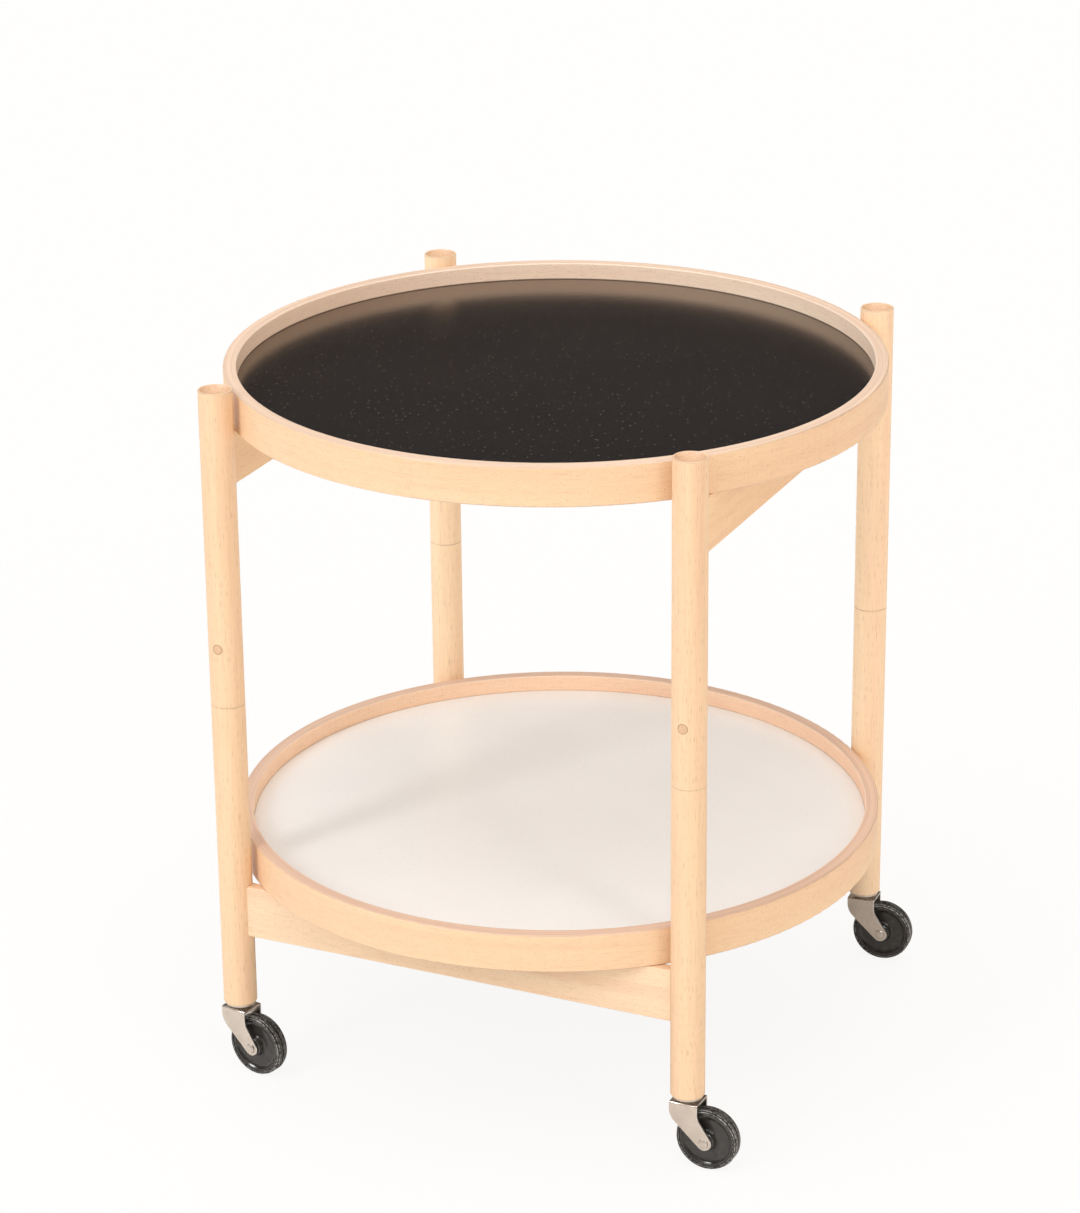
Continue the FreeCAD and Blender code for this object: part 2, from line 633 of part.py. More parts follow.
def caster(corner, side_x, side_y):
    """One swivel caster under a leg, pointing its own way. The pieces on its axle are turned upright,
    then laid along it."""
    place = leg_axis(side_x, side_y)
    yaw = f"sizes.yaw_{corner}"
    turn = about_z(value(yaw))
    caster_sleeve(corner, place)
    caster_stem(corner, place, turn)
    caster_washer(corner, place, turn)
    caster_fork(corner, place, turn)
    right = f"{place[0]} + sizes.wheel_trail * cos({yaw})"
    rear = f"{place[1]} + sizes.wheel_trail * sin({yaw})"
    along_axle = turn.multiply(Rotation(Vector(1, 0, 0), QUARTER))
    for build in (axle_rivet, wheel_centre, tyre):
        stand(build(corner), right, rear, AXLE_HEIGHT, along_axle)


def build_table():
    """Every piece of the table, in place."""
    rail("left_upper_rail", f"-{LEG_OFFSET}", "0", UPPER_TRAY, QUARTER)
    rail("right_upper_rail", LEG_OFFSET, "0", UPPER_TRAY, QUARTER)
    rail("front_lower_rail", "0", f"-{LEG_OFFSET}", LOWER_TRAY, 0)
    rail("rear_lower_rail", "0", LEG_OFFSET, LOWER_TRAY, 0)
    for corner, side_x, side_y in CORNERS:
        upper_leg(corner, side_x, side_y)
        lower_leg(corner, side_x, side_y)
        pivot_dowel(corner, side_x, side_y)
        peg(corner, side_x, side_y)
        caster(corner, side_x, side_y)
    tray("upper", UPPER_TRAY, "black", "white")
    tray("lower", LOWER_TRAY, "white", "black")


def check_document():
    """Stop if an object failed or a piece is not one valid solid."""
    doc.recompute()
    failed = [item.Name for item in doc.Objects if {"Invalid", "Error"} & set(item.State)]
    if failed:
        raise ValueError(f"failed objects: {failed}")
    for piece in pieces:
        shape = piece.Shape
        if shape.isNull() or not shape.isValid() or len(shape.Solids) != 1:
            raise ValueError(f"{piece.Label} is not one valid solid")


def write_parts():
    """One file for each piece, named after it."""
    os.makedirs("parts", exist_ok=True)
    for piece in pieces:
        piece.Shape.exportStep(f"parts/{piece.Label}.step")


build_table()
check_document()
write_parts()
print(f"{len(pieces)} pieces")
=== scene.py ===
import json
import math

import bpy
import numpy as np
from mathutils import Matrix, Vector


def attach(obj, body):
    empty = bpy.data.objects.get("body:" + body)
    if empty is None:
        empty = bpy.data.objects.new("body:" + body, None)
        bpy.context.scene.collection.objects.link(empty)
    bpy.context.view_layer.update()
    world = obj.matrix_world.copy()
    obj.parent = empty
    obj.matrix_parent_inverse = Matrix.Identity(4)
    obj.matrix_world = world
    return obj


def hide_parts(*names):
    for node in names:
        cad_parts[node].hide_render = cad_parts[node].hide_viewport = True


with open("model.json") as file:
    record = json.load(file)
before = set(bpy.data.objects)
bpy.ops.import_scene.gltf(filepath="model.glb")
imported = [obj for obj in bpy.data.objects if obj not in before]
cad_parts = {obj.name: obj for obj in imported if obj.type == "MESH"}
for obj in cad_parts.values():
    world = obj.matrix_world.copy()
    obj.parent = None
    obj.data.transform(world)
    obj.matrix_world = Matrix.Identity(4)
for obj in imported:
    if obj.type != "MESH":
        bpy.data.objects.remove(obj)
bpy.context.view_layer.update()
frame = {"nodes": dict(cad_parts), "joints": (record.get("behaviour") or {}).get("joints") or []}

MM = 0.001
CORNERS = ("front_left", "front_right", "rear_right", "rear_left")

# Photograph: size in pixels, and the camera that was solved from the table's edges in it
PHOTO_SIZE = (1080, 1213)
FOCAL_PIXELS = 3934.77
SENSOR_MM = 36
CAMERA_AIM = (0.02762, -0.09910, 0.45660)
CAMERA_DISTANCE = 3.5333
CAMERA_AZIMUTH = 24.823
CAMERA_ELEVATION = 21.692
CAMERA_ROLL = -0.594

# Where the lamps point
LIT_POINT = Vector((0, 0, 0.4))

# Rims of the trays: middle of the wall, and the height of each panel's upper face
RIM_RADIUS = 294 * MM
UPPER_PANEL = 644.1 * MM
LOWER_PANEL = 210.1 * MM

# Legs and pegs: distance of their axes from the middle planes, their radii, and the height of the pegs
LEG_OFFSET = 225.496 * MM
LEG_RADIUS = 15.5 * MM
PEG_HEIGHT = 427.0 * MM
PEG_RADIUS = 4.7 * MM

# Casters, in millimetres. A corner of the fork's side view is (x, z, radius of its round).
AXLE_HEIGHT = 29.0
WHEEL_TRAIL = 20.3
FORK_TOP = 64.25
FORK_SHEET = 2.0
FORK_HALF_WIDTH = 12.5
FORK_EDGE_ROUND = 0.5
FORK_BEND_OUTSIDE = 1.3
FORK_BEND_INSIDE = 0.4
FORK_LEAD = (-13.0, 50.25, 17.0)
FORK_TAIL = (14.0, 51.75, 11.0)
FORK_END_RADIUS = 7.2
FORK_END_START = 0.02  # radians off the lowest point, so that the first row has some width
FORK_BELOW_BEND = 0.4  # where an arm's straight rows stop
FORK_EDGE_SHARE = 0.45  # most of a narrow row that one rounded edge may take

# Half profiles of what turns about an axle, in millimetres: (radius, place along the axle, radius of the round)
RIVET_HEAD = [
    (0.0, FORK_HALF_WIDTH + 1.7, 0),
    (2.2, FORK_HALF_WIDTH + 1.55, 3.0),
    (4.2, FORK_HALF_WIDTH + 0.75, 0.7),
    (4.5, FORK_HALF_WIDTH + 0.1, 0.2),
    (4.6, FORK_HALF_WIDTH - 0.1, 0),
    (2.5, FORK_HALF_WIDTH - 0.1, 0),
]
RIVET_TIP = 0.01
WHEEL_DISC = [
    (2.56, 9.6, 0),
    (2.56, 10.0, 0.2),
    (8.6, 10.0, 1.6),
    (9.7, 3.9, 2.4),
    (21.9, 3.5, 4.2),
    (23.7, 6.2, 0.5),
    (25.6, 6.2, 0.3),
    (25.8, 5.0, 0),
]
TREAD_RING = [
    (25.8, 5.0, 0),
    (25.9, 7.0, 0.4),
    (28.2, 7.0, 1.2),
    (28.4, 5.6, 0.2),
    (27.9, 5.4, 0.15),
    (27.9, 5.0, 0.15),
    (29.0, 4.7, 0.6),
    (29.0, 0.9, 0.25),
    (28.0, 0.7, 0.3),
]

# Wear and painted light, from 0 to 1: dust and rubbing, and also painted highlights along the fork's and the tyre's
# edges and painted shade round the edge of the rivet's head. Some of it grows from 0 to its full value between two
# radii in millimetres. An edge of the tyre is (radius, place along the axle, most), and its share fades with the
# square of the distance.
# On the fork's edges this is partly rubbed bare steel and partly painted highlight.
EDGE_WEAR_AND_HIGHLIGHT = (0.0, 0.6, 1.0, 0.6, 0.0)  # across each rounded edge of the fork
# Painted shade: a dark ring round the edge of the rivet's head grows between these radii.
RIVET_BRIM_SHADE = (4.0, 4.4)
TREAD_WEAR = 0.16
TREAD_RADII = (28.2, 28.8)
# The tyre's edge lines are partly rubbed rubber and partly painted highlight.
TYRE_RUBBED_AND_HIGHLIT_EDGES = ((27.85, 6.65, 1.0), (26.0, 6.9, 0.5), (28.8, 4.5, 0.9))
TYRE_EDGE_FADE = 0.12

# Steps of the meshes: a rounded corner, a full turn, the outline of the fork's round end, and the rows of that end,
# of an arm and of a bend
ROUND_STEPS = 7
TURN_STEPS = 144
END_OUTLINE_STEPS = 40
END_STEPS = 24
ARM_STEPS = 40
BEND_STEPS = 9
SUPPORT = 0.12  # millimetres from a rounded corner to the point that keeps the next run flat
SHARP_DEGREES = 50  # least turn between faces that shows as an edge

# Beech before any toning, and the white that the camera sees round the table
BEECH_LIGHT = (0.91, 0.665, 0.425)
BEECH_ROSE = (0.87, 0.585, 0.37)
BEECH_DARK = (0.62, 0.385, 0.235)
STUDIO_WHITE = (1.0, 0.995, 0.985)

# Half the side of the floor, in metres
FLOOR_HALF_SIZE = 12.0


def grown(value, start, stop):
    """0 up to start, 1 from stop on, and straight between."""
    return np.clip((value - start) / (stop - start), 0, 1)


def joint(name):
    """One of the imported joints, by its name."""
    return next(item for item in frame["joints"] if item["name"] == name)


def rounded_line(corners):
    """A chain of straight runs in a plane with rounded corners, each given as (x, y, radius). An arc touches
    both runs at radius * tan(turn / 2) from its corner, and a point just outside each end keeps the run flat."""
    points = np.array([corner[:2] for corner in corners], float)
    line = [points[:1]]
    for before, here, after, (_, _, radius) in zip(points, points[1:], points[2:], corners[1:-1]):
        arrive = (here - before) / np.linalg.norm(here - before)
        leave = (after - here) / np.linalg.norm(after - here)
        turn = math.atan2(arrive[0] * leave[1] - arrive[1] * leave[0], arrive @ leave)
        reach = radius * math.tan(abs(turn) / 2)
        side = np.array([-arrive[1], arrive[0]]) * math.copysign(radius, turn)
        angles = np.linspace(0, turn, ROUND_STEPS)[:, None]
        centre = here - arrive * reach + side
        arc = centre - side * np.cos(angles) + np.array([side[1], -side[0]]) * np.sin(angles)
        line += [arc[:1] - arrive * SUPPORT, arc, arc[-1:] + leave * SUPPORT]
    line.append(points[-1:])
    return np.concatenate(line)


def turned_grid(line, centre, axis):
    """A line of (radius, place along the axis) in millimetres, spun about an axis through the centre:
    centre + axis * place + radius * (cos t, sin t) in the plane square to the axis."""
    axis = np.array(axis, float)
    across = np.cross(axis, (0, 0, 1))
    third = np.cross(axis, across)
    angles = np.linspace(0, 2 * math.pi, TURN_STEPS, endpoint=False)
    spokes = np.cos(angles)[:, None] * across + np.sin(angles)[:, None] * third
    radius, place = line.T * MM
    return np.array(centre) + place[:, None, None] * axis + radius[:, None, None] * spokes


def skin(name, grid, material, body, node, wear_and_painted_light=0.0, closed=False, capped=False):
    """A mesh over a grid of points whose columns go round. Closed joins the last row to the first, and capped shuts
    the two end rows. Its faces are turned outwards, by the sign of the volume they enclose. Wear and painted light,
    from 0 to 1 and given over the grid, are kept on the points for the finish to use."""
    rows, columns = grid.shape[:2]
    index = np.arange(rows * columns).reshape(rows, columns)
    index = np.concatenate([index, index[:, :1]], axis=1)
    if closed:
        index = np.concatenate([index, index[:1]])
    quads = np.stack([index[:-1, :-1], index[1:, :-1], index[1:, 1:], index[:-1, 1:]], axis=-1).reshape(-1, 4)
    points = grid.reshape(-1, 3)
    first, second, third, fourth = (points[quads[:, k]] - points.mean(0) for k in range(4))
    inside = np.einsum("ij,ij->", first, np.cross(second, third) + np.cross(third, fourth))
    faces = quads.tolist()
    if capped:
        faces += [index[0, -1:0:-1].tolist(), index[-1, :-1].tolist()]
    if inside < 0:
        faces = [face[::-1] for face in faces]
    mesh = bpy.data.meshes.new(name)
    mesh.from_pydata(points.tolist(), [], faces)
    mesh.shade_smooth()
    mesh.set_sharp_from_angle(angle=math.radians(SHARP_DEGREES))
    mesh.materials.append(material)
    marks_and_painted_light = mesh.attributes.new("wear_and_painted_light", "FLOAT", "POINT")
    marks_and_painted_light.data.foreach_set("value", np.broadcast_to(wear_and_painted_light, (rows, columns)).astype(np.float32).ravel())
    piece = bpy.data.objects.new(name, mesh)
    bpy.context.scene.collection.objects.link(piece)
    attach(piece, body)
    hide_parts(node)


def mirrored(upper):
    """A half profile and its mirror image across the middle of the wheel, as one line."""
    lower = [(radius, -place, rounding) for radius, place, rounding in reversed(upper)]
    return upper + lower


def fork_edges():
    """Side view of a fork arm: leading and trailing edge as lines of (x, z), from the top down to the lowest
    point of the round end. A slant touches the round where acos(radius / distance) turns it off the centre."""
    centre = np.array([WHEEL_TRAIL, AXLE_HEIGHT])
    edges = []
    for corner, way in ((FORK_LEAD, 1), (FORK_TAIL, -1)):
        towards = np.array(corner[:2]) - centre
        swing = math.acos(FORK_END_RADIUS / np.linalg.norm(towards))
        start = math.atan2(towards[1], towards[0]) + way * swing
        stop = 1.5 * math.pi if way > 0 else -0.5 * math.pi
        angles = np.linspace(start, stop, END_OUTLINE_STEPS)
        end = centre + FORK_END_RADIUS * np.stack([np.cos(angles), np.sin(angles)], axis=1)
        slant = rounded_line([(corner[0], FORK_TOP, 0), corner, (*end[0], 0)])
        edges.append(np.concatenate([slant[:-1], end]))
    return edges


def fork_grid(swivel, trail):
    """A bent sheet: a flat oval (lead to tail edge by sheet thickness, edges rounded) carried along the middle
    of the sheet, up one arm, round a bend, over the top and down the other arm. In the bend the middle lies
    half way between the outside round and the inside round at the same angle."""
    lead, tail = fork_edges()
    middle = FORK_SHEET / 2
    low = AXLE_HEIGHT - FORK_END_RADIUS
    straight = FORK_TOP - FORK_SHEET - FORK_BEND_INSIDE
    tip = low + FORK_END_RADIUS * (1 - np.cos(np.linspace(FORK_END_START, math.pi / 2, END_STEPS)))
    arm = np.concatenate([tip, np.linspace(AXLE_HEIGHT, straight - FORK_BELOW_BEND, ARM_STEPS)[1:]])
    swing = np.linspace(0, math.pi / 2, BEND_STEPS)
    turn = np.stack([np.cos(swing), np.sin(swing)], axis=1)
    corner = np.array([FORK_HALF_WIDTH, FORK_TOP])
    outside = corner - FORK_BEND_OUTSIDE + FORK_BEND_OUTSIDE * turn
    inside = corner - FORK_SHEET - FORK_BEND_INSIDE + FORK_BEND_INSIDE * turn
    bent = (outside + inside) / 2
    across_bend = (outside - inside) / FORK_SHEET
    half_y = np.concatenate([np.full(len(arm), FORK_HALF_WIDTH - middle), bent[:, 0]])
    half_z = np.concatenate([arm, bent[:, 1]])
    out_y = np.concatenate([np.ones(len(arm)), across_bend[:, 0]])
    out_z = np.concatenate([np.zeros(len(arm)), across_bend[:, 1]])
    path = np.stack([half_y, half_z, out_y, out_z], axis=1)
    path = np.concatenate([path, path[::-1] * (-1, 1, -1, 1)])
    height = path[:, 1]
    left = np.interp(-height, -lead[:, 1], lead[:, 0])
    right = np.interp(-height, -tail[:, 1], tail[:, 0])
    edge = np.minimum(FORK_EDGE_ROUND, FORK_EDGE_SHARE * (right - left))
    steps = len(EDGE_WEAR_AND_HIGHLIGHT)
    quarter = np.linspace(0, math.pi / 2, steps)
    ends, levels, insets = [], [], []
    for end, level, start in ((0, 1, 0), (1, 1, 1), (1, -1, 2), (0, -1, 3)):
        angles = math.pi - (quarter + start * math.pi / 2)
        ends.append(np.full(steps, end))
        insets.append(np.cos(angles))
        levels.append(np.stack([np.full(steps, level), np.sin(angles)], axis=1))
    ends, insets, levels = np.concatenate(ends), np.concatenate(insets), np.concatenate(levels)
    inward = np.where(ends == 0, 1, -1)
    base = np.where(ends == 0, left[:, None], right[:, None])
    along = base + edge[:, None] * (inward + insets)
    out = levels[:, 0] * (middle - edge[:, None]) + edge[:, None] * levels[:, 1]
    across = path[:, :1] + out * path[:, 2:3]
    up = path[:, 1:2] + out * path[:, 3:4]
    trail = np.array(trail)
    side = np.cross((0, 0, 1), trail)
    grid = along[..., None] * trail + across[..., None] * side + up[..., None] * np.array((0, 0, 1))
    return np.array((*swivel[:2], 0)) + grid * MM


def tyre_dust_and_highlights(ring):
    """Dust and painted highlights over the tyre's profile: an even layer of dust on the tread, and most * exp(-gap
    / fade) near each edge, where gap is the square of the distance to it. The light lines at these edges are partly
    rubbed rubber and partly painted highlight."""
    radius, place = ring[:, :1], np.abs(ring[:, 1:])
    marks_and_painted_light = TREAD_WEAR * grown(radius, *TREAD_RADII)
    for edge_radius, edge_place, most in TYRE_RUBBED_AND_HIGHLIT_EDGES:
        gap = (radius - edge_radius) ** 2 + (place - edge_place) ** 2
        marks_and_painted_light = np.maximum(marks_and_painted_light, most * np.exp(-gap / TYRE_EDGE_FADE))
    return marks_and_painted_light


def caster(corner, steel, riveted, wheel, tyre):
    """Fork, rivet, wheel centre and tyre of one caster, from where its two joints are."""
    swivel = np.array(joint(f"swivel_{corner}")["pos_m"])
    roll = joint(f"roll_{corner}")
    centre = np.array(roll["pos_m"])
    axle = np.array(roll["axis"], float)
    trail = centre - swivel
    trail[2] = 0
    trail /= np.linalg.norm(trail)
    carrier, roller = f"caster_{corner}", f"wheel_{corner}"
    grid = fork_grid(swivel, trail)
    # The fork's bright edges are partly painted highlight.
    edges = np.tile(EDGE_WEAR_AND_HIGHLIGHT, 4)
    skin(f"bent_fork_{corner}", grid, steel, carrier, f"caster_fork_{corner}", edges, capped=True)
    rivet = rounded_line(mirrored(RIVET_HEAD))
    rivet[0, 0] = rivet[-1, 0] = RIVET_TIP
    # Painted shade round the edge of the rivet's head.
    brim_shade = grown(rivet[:, :1], *RIVET_BRIM_SHADE)
    grid = turned_grid(rivet, centre, axle)
    skin(f"rivet_{corner}", grid, riveted, carrier, f"axle_rivet_{corner}", brim_shade, capped=True)
    grid = turned_grid(rounded_line(mirrored(WHEEL_DISC)), centre, axle)
    skin(f"wheel_disc_{corner}", grid, wheel, roller, f"wheel_centre_{corner}", closed=True)
    ring = rounded_line(mirrored(TREAD_RING))
    grid = turned_grid(ring, centre, axle)
    marks_and_painted_light = tyre_dust_and_highlights(ring)
    skin(f"tread_ring_{corner}", grid, tyre, roller, f"tyre_{corner}", marks_and_painted_light, closed=True)


def add_node(tree, kind, sockets=None, **fields):
    """One node. Fields are its own settings; sockets are numbers, or outputs of other nodes to link in."""
    node = tree.nodes.new(kind)
    for field, setting in fields.items():
        setattr(node, field, setting)
    for socket, source in (sockets or {}).items():
        if isinstance(source, bpy.types.NodeSocket):
            tree.links.new(source, node.inputs[socket])
        else:
            node.inputs[socket].default_value = source
    return node


def arithmetic(tree, operation, first, second=0.0):
    """The result of one sum on numbers or outputs."""
    return add_node(tree, "ShaderNodeMath", {0: first, 1: second}, operation=operation).outputs[0]


def ramp(tree, source, low, high):
    """0 at low and 1 at high, with a smooth step between; low may be the larger."""
    node = add_node(tree, "ShaderNodeMapRange", {"Value": source, "From Min": low, "From Max": high})
    node.interpolation_type = "SMOOTHSTEP"
    return node.outputs[0]


def solid(colour):
    """A colour with its fourth number, or an output as it is."""
    return colour if isinstance(colour, bpy.types.NodeSocket) else (*colour, 1)


def mixed(tree, share, first, second):
    """A colour that goes from the first to the second with the share."""
    sockets = {0: share, 6: solid(first), 7: solid(second)}
    return add_node(tree, "ShaderNodeMix", sockets, data_type="RGBA").outputs[2]


def graded(tree, source, factor, start):
    """source * factor + start."""
    return add_node(tree, "ShaderNodeMath", {0: source, 1: factor, 2: start}, operation="MULTIPLY_ADD").outputs[0]


def object_place(tree):
    """Where a point is in its own mesh."""
    return add_node(tree, "ShaderNodeTexCoord").outputs["Object"]


def place_parts(tree):
    """The three parts of a point's place in its own mesh."""
    return add_node(tree, "ShaderNodeSeparateXYZ", {0: object_place(tree)}).outputs


def noise_at(tree, place, scale, detail):
    """Noise in cells of 1/scale metres, the same every way."""
    return add_node(tree, "ShaderNodeTexNoise", {"Vector": place, "Scale": scale, "Detail": detail}).outputs[0]


def new_finish(name, **constants):
    """A material with one shader, whose constant values sit on its own sockets. Gives both."""
    material = bpy.data.materials.new(name)
    material.use_nodes = True
    shader = material.node_tree.nodes["Principled BSDF"]
    for socket, number in constants.items():
        shader.inputs[socket.replace("_", " ")].default_value = number
    return material, material.node_tree, shader


def bump(tree, shader, height, strength, depth):
    """Surface relief from a height, as deep as given in metres."""
    node = add_node(tree, "ShaderNodeBump", {"Height": height, "Strength": strength, "Distance": depth})
    tree.links.new(node.outputs[0], shader.inputs["Normal"])


def straight_grain(tree, axis):
    """Place along and across boards whose grain runs on one axis: that axis first, and no fourth number."""
    parts = place_parts(tree)
    order = {"x": (0, 1, 2), "y": (1, 0, 2), "z": (2, 0, 1)}[axis]
    lined = add_node(tree, "ShaderNodeCombineXYZ", {k: parts[source] for k, source in enumerate(order)})
    return lined.outputs[0], 0.0


def bent_grain(tree):
    """Place along and across a bent rim: a point on the rim's middle circle with the height, and the distance from
    the rim's axis as a fourth number."""
    parts = place_parts(tree)
    flat = add_node(tree, "ShaderNodeCombineXYZ", {0: parts[0], 1: parts[1]}).outputs[0]
    length = add_node(tree, "ShaderNodeVectorMath", {0: flat}, operation="LENGTH").outputs["Value"]
    unit = add_node(tree, "ShaderNodeVectorMath", {0: flat}, operation="NORMALIZE").outputs[0]
    wide = add_node(tree, "ShaderNodeVectorMath", {0: unit, "Scale": RIM_RADIUS}, operation="SCALE").outputs[0]
    circle = add_node(tree, "ShaderNodeSeparateXYZ", {0: wide}).outputs
    lined = add_node(tree, "ShaderNodeCombineXYZ", {0: circle[0], 1: circle[1], 2: parts[2]})
    return lined.outputs[0], length


def stretched(tree, grain, along, across, bent):
    """The grain's place in cells of 1/along by 1/across metres, as a vector and a fourth number."""
    vector, radius = grain
    scale = (along, along, across) if bent else (along, across, across)
    cells = add_node(tree, "ShaderNodeVectorMath", {0: vector, 1: scale}, operation="MULTIPLY").outputs[0]
    fourth = arithmetic(tree, "MULTIPLY", radius, across) if bent else 0.0
    return {"Vector": cells, "W": fourth}


def distance(tree, first, second):
    """Length of a flat vector."""
    flat = add_node(tree, "ShaderNodeCombineXYZ", {0: first, 1: second}).outputs[0]
    return add_node(tree, "ShaderNodeVectorMath", {0: flat}, operation="LENGTH").outputs["Value"]


def from_leg(tree, part):
    """Signed distance from the nearest pair of leg axes, along one axis."""
    return arithmetic(tree, "SUBTRACT", arithmetic(tree, "ABSOLUTE", part), LEG_OFFSET)


def product(tree, *shares):
    """The product of shares."""
    result = shares[0]
    for factor in shares[1:]:
        result = arithmetic(tree, "MULTIPLY", result, factor)
    return result


def times(tree, first, second):
    """The product of two colours."""
    return add_node(tree, "ShaderNodeVectorMath", {0: first, 1: second}, operation="MULTIPLY").outputs[0]


def levelness(tree):
    """How level a surface is, from 0 on walls to 1 on tops."""
    normal = add_node(tree, "ShaderNodeNewGeometry").outputs["Normal"]
    return arithmetic(tree, "ABSOLUTE", add_node(tree, "ShaderNodeSeparateXYZ", {0: normal}).outputs[2])


def leg_shades(tree, body, noise):
    """Leg ends: darker cut grain in the dish of the top, partly the end grain's own colour and partly painted
    shade; a pale ring round it, which is a painted highlight; and a darker line on the outer edge.
    """
    parts = place_parts(tree)
    away = distance(tree, from_leg(tree, parts[0]), from_leg(tree, parts[1]))
    slope = levelness(tree)
    level = ramp(tree, slope, 0.25, 0.6)
    pores = ramp(tree, noise(700, 700, 2.0, 0.6), 0.3, 0.7)
    # Painted shade: the dish's end grain is made darker than end grain alone, standing in for the shade in it.
    ends = mixed(tree, pores, (0.64, 0.395, 0.235), (0.77, 0.51, 0.325))
    dish_grain_and_shade = product(tree, level, ramp(tree, away, LEG_RADIUS - 1.2 * MM, LEG_RADIUS - 1.7 * MM))
    # Painted highlight: a pale ring round the dish.
    circle = product(tree, level, ramp(tree, away, LEG_RADIUS - 1.4 * MM, LEG_RADIUS - 1.1 * MM), 0.5)
    edge = ramp(tree, away, LEG_RADIUS - 0.8 * MM, LEG_RADIUS - 0.4 * MM)
    line = product(tree, ramp(tree, slope, 0.1, 0.4), edge, 0.6)
    body = mixed(tree, dish_grain_and_shade, body, ends)
    body = mixed(tree, circle, body, (0.95, 0.76, 0.56))
    return mixed(tree, line, body, (0.50, 0.33, 0.20))


def rim_shades(inside_painted_light, top_tint_with_sheen, panel, gap_shade_share):
    """What sets a bent rim apart: its inside wall is made brighter with painted light, and painted shade darkens a
    thin band of it at the panel. On its cut top the layers show as lines, in a greyer, paler colour that is partly
    painted sheen, with a painted shade line at the outer edge and a painted highlight line at the inner edge."""

    def shades(tree, body, noise):
        parts = place_parts(tree)
        outward = add_node(tree, "ShaderNodeCombineXYZ", {0: parts[0], 1: parts[1]}).outputs[0]
        outward = add_node(tree, "ShaderNodeVectorMath", {0: outward}, operation="NORMALIZE").outputs[0]
        normal = add_node(tree, "ShaderNodeNewGeometry").outputs["Normal"]
        turned = add_node(tree, "ShaderNodeVectorMath", {0: outward, 1: normal}, operation="DOT_PRODUCT")
        facing = turned.outputs["Value"]
        inward = ramp(tree, facing, -0.3, -0.8)
        # Painted light: the inside wall is made brighter, standing in for the light the panel throws onto it.
        body = times(tree, body, mixed(tree, inward, (1, 1, 1), inside_painted_light))
        # Painted shade: a dark band on the inside wall just over the panel, where the narrow gap between them is in
        # shade.
        height = arithmetic(tree, "ABSOLUTE", arithmetic(tree, "SUBTRACT", parts[2], panel))
        gap_shade = product(tree, inward, ramp(tree, height, 1.1 * MM, 0.4 * MM), gap_shade_share)
        body = mixed(tree, gap_shade, body, (0.12, 0.07, 0.045))
        # The cut top: layer lines, in a greyer, paler colour that is partly painted sheen.
        layers = ramp(tree, noise(4.0, 480, 3.0, 0.65), 0.3, 0.7)
        ends = times(tree, mixed(tree, layers, (0.72, 0.54, 0.42), (0.88, 0.68, 0.535)), top_tint_with_sheen)
        body = mixed(tree, ramp(tree, levelness(tree), 0.35, 0.85), body, ends)
        # Painted shade along the rounded outer edge of the top, and a painted highlight along the rounded inner
        # edge.
        outer = product(tree, ramp(tree, facing, 0.35, 0.55), ramp(tree, facing, 0.95, 0.75), 0.3)
        inner = product(tree, ramp(tree, facing, -0.3, -0.55), ramp(tree, facing, -0.98, -0.8), 0.6)
        body = mixed(tree, outer, body, (0.42, 0.27, 0.17))
        return mixed(tree, inner, body, (0.96, 0.80, 0.66))

    return shades


def peg_shades(tree, body, noise):
    """A peg's end: dark fibres, and a glue line round its edge."""
    parts = place_parts(tree)
    up = arithmetic(tree, "SUBTRACT", parts[2], PEG_HEIGHT)
    away = distance(tree, from_leg(tree, parts[0]), up)
    fibres = product(tree, ramp(tree, noise(60, 500, 2.0, 0.6), 0.45, 0.7), 0.35)
    body = mixed(tree, fibres, body, (0.50, 0.30, 0.18))
    glue = ramp(tree, away, PEG_RADIUS - 0.8 * MM, PEG_RADIUS - 0.1 * MM)
    return mixed(tree, glue, body, (0.25, 0.14, 0.08))


